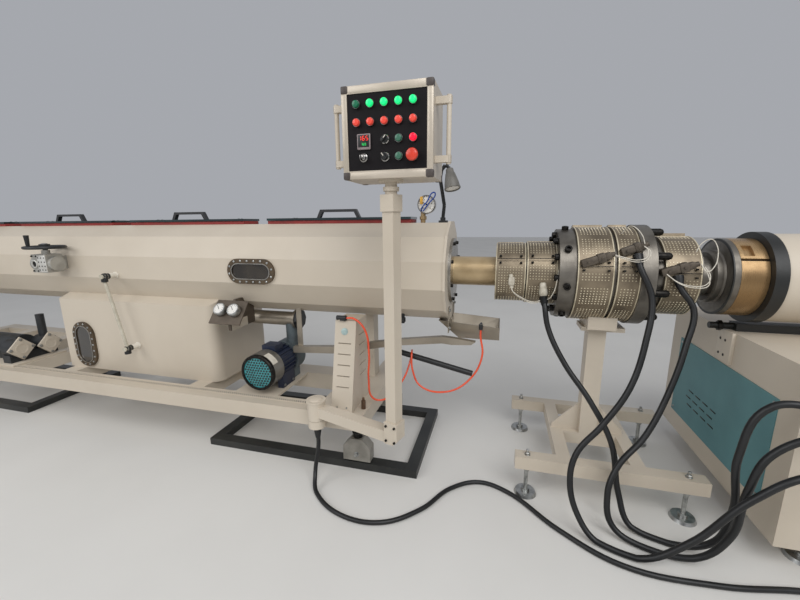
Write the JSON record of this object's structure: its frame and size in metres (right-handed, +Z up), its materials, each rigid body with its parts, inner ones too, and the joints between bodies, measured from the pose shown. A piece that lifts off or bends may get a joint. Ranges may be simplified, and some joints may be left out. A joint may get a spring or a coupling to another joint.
{
  "type": "plastic pipe extruder line",
  "caption": "Plastic pipe extruder line: screw extruder with hopper, heated die head on a stand, and a vacuum sizing tank with hinged lids and a swinging control panel.",
  "frame": {"origin": "on the floor at the inlet end of the die head, in the middle of the width, which is the middle of the line", "axes": "+X along the line from the tank to the extruder, +Y away from the operator's side, +Z up"},
  "size_m": [8.808, 1.1726, 2.05],
  "materials": {
    "cream_paint": "satin",
    "polished_steel": "satin",
    "lid_glass": "gloss",
    "red_silicone": "matte",
    "window_steel": "satin",
    "clear_hose": "gloss",
    "cast_aluminium": "rough cast",
    "black_plastic": "matte",
    "stainless": "brushed",
    "blue_paint": "satin",
    "cast_iron": "rough",
    "grey_paint": "satin",
    "black_steel": "satin",
    "aluminium_profile": "satin",
    "black_panel": "matte",
    "button_plastic": "gloss",
    "red_plastic": "gloss",
    "lamp_grey": "satin",
    "gauge_steel": "polished",
    "brass": "turned",
    "die_steel": "turned",
    "heater_steel": "dimpled",
    "plug_metal": "cast",
    "zinc_steel": "zinc plated",
    "teal_paint": "satin",
    "blue_grey_paint": "satin",
    "black_rubber": "matte",
    "orange_hose": "gloss"
  },
  "bodies": {
    "line": {"tank_shell": "cream_paint", "tank_ends": "cream_paint", "pipe_flanges": "polished_steel", "lid_seals": "red_silicone", "lid_hinges": "polished_steel", "sight_windows": "window_steel", "water_box": "cream_paint", "level_gauge": "clear_hose", "crank_gearbox": "cast_aluminium", "valve_plate": "stainless", "pump_motor": "blue_paint", "water_pump": "cast_iron", "vacuum_pump": "cast_iron", "tank_frame": "cream_paint", "tank_legs": "cream_paint", "wheel_blocks": "grey_paint", "track_frame": "black_steel", "vent_cabinet": "cream_paint", "arm_knuckle": "cream_paint", "work_lamp": "lamp_grey", "pressure_gauge": "gauge_steel", "catch_tray": "stainless", "drain_channel": "stainless", "drain_pipe": "black_plastic", "sizing_sleeve": "brass", "die_body": "die_steel", "heater_bands": "heater_steel", "die_flange": "die_steel", "die_bolts": "black_steel", "heater_plugs": "plug_metal", "die_stand": "cream_paint", "levelling_feet": "zinc_steel", "barrel_clamps": "black_steel", "brass_ring": "brass", "barrel_cover": "cream_paint", "barrel_support": "cream_paint", "extruder_base": "cream_paint", "end_panel": "teal_paint", "slide_rail": "black_steel", "feed_throat": "cast_iron", "hopper": "stainless", "gearbox": "blue_grey_paint", "drive_motor": "blue_grey_paint", "heater_lead_1": "black_rubber", "heater_lead_2": "black_rubber", "heater_lead_3": "black_rubber", "panel_cable": "black_rubber", "air_hose": "orange_hose"},
    "control_arm": {"control_arm": "cream_paint", "panel_box": "aluminium_profile", "panel_face": "black_panel", "panel_handles": "cream_paint", "push_buttons": "button_plastic", "emergency_stop": "red_plastic"},
    "handwheel": {"handwheel": "black_plastic"},
    "lid_1": {"lid_1": "lid_glass"},
    "lid_2": {"lid_2": "lid_glass"},
    "lid_3": {"lid_3": "lid_glass"},
    "lid_4": {"lid_4": "lid_glass"}
  },
  "joints": [
    {"name": "lid_1_hinge", "type": "hinge", "parent": "line", "child": "lid_1", "pos_m": [-0.85, 0.181, 1.2713], "axis": [-1, 0, 0], "range_deg": [0, 95]},
    {"name": "lid_2_hinge", "type": "hinge", "parent": "line", "child": "lid_2", "pos_m": [-1.82, 0.181, 1.2713], "axis": [-1, 0, 0], "range_deg": [0, 95]},
    {"name": "lid_3_hinge", "type": "hinge", "parent": "line", "child": "lid_3", "pos_m": [-2.79, 0.181, 1.2713], "axis": [-1, 0, 0], "range_deg": [0, 95]},
    {"name": "lid_4_hinge", "type": "hinge", "parent": "line", "child": "lid_4", "pos_m": [-3.76, 0.181, 1.2713], "axis": [-1, 0, 0], "range_deg": [0, 95]},
    {"name": "arm_swing", "type": "hinge", "parent": "line", "child": "control_arm", "pos_m": [-0.812, -0.361, 0.34], "axis": [0, 0, -1], "range_deg": [0, 120]},
    {"name": "handwheel_turn", "type": "hinge", "parent": "line", "child": "handwheel", "pos_m": [-2.6, -0.227, 1.125], "axis": [0, 0, 1], "continuous": true}
  ]
}
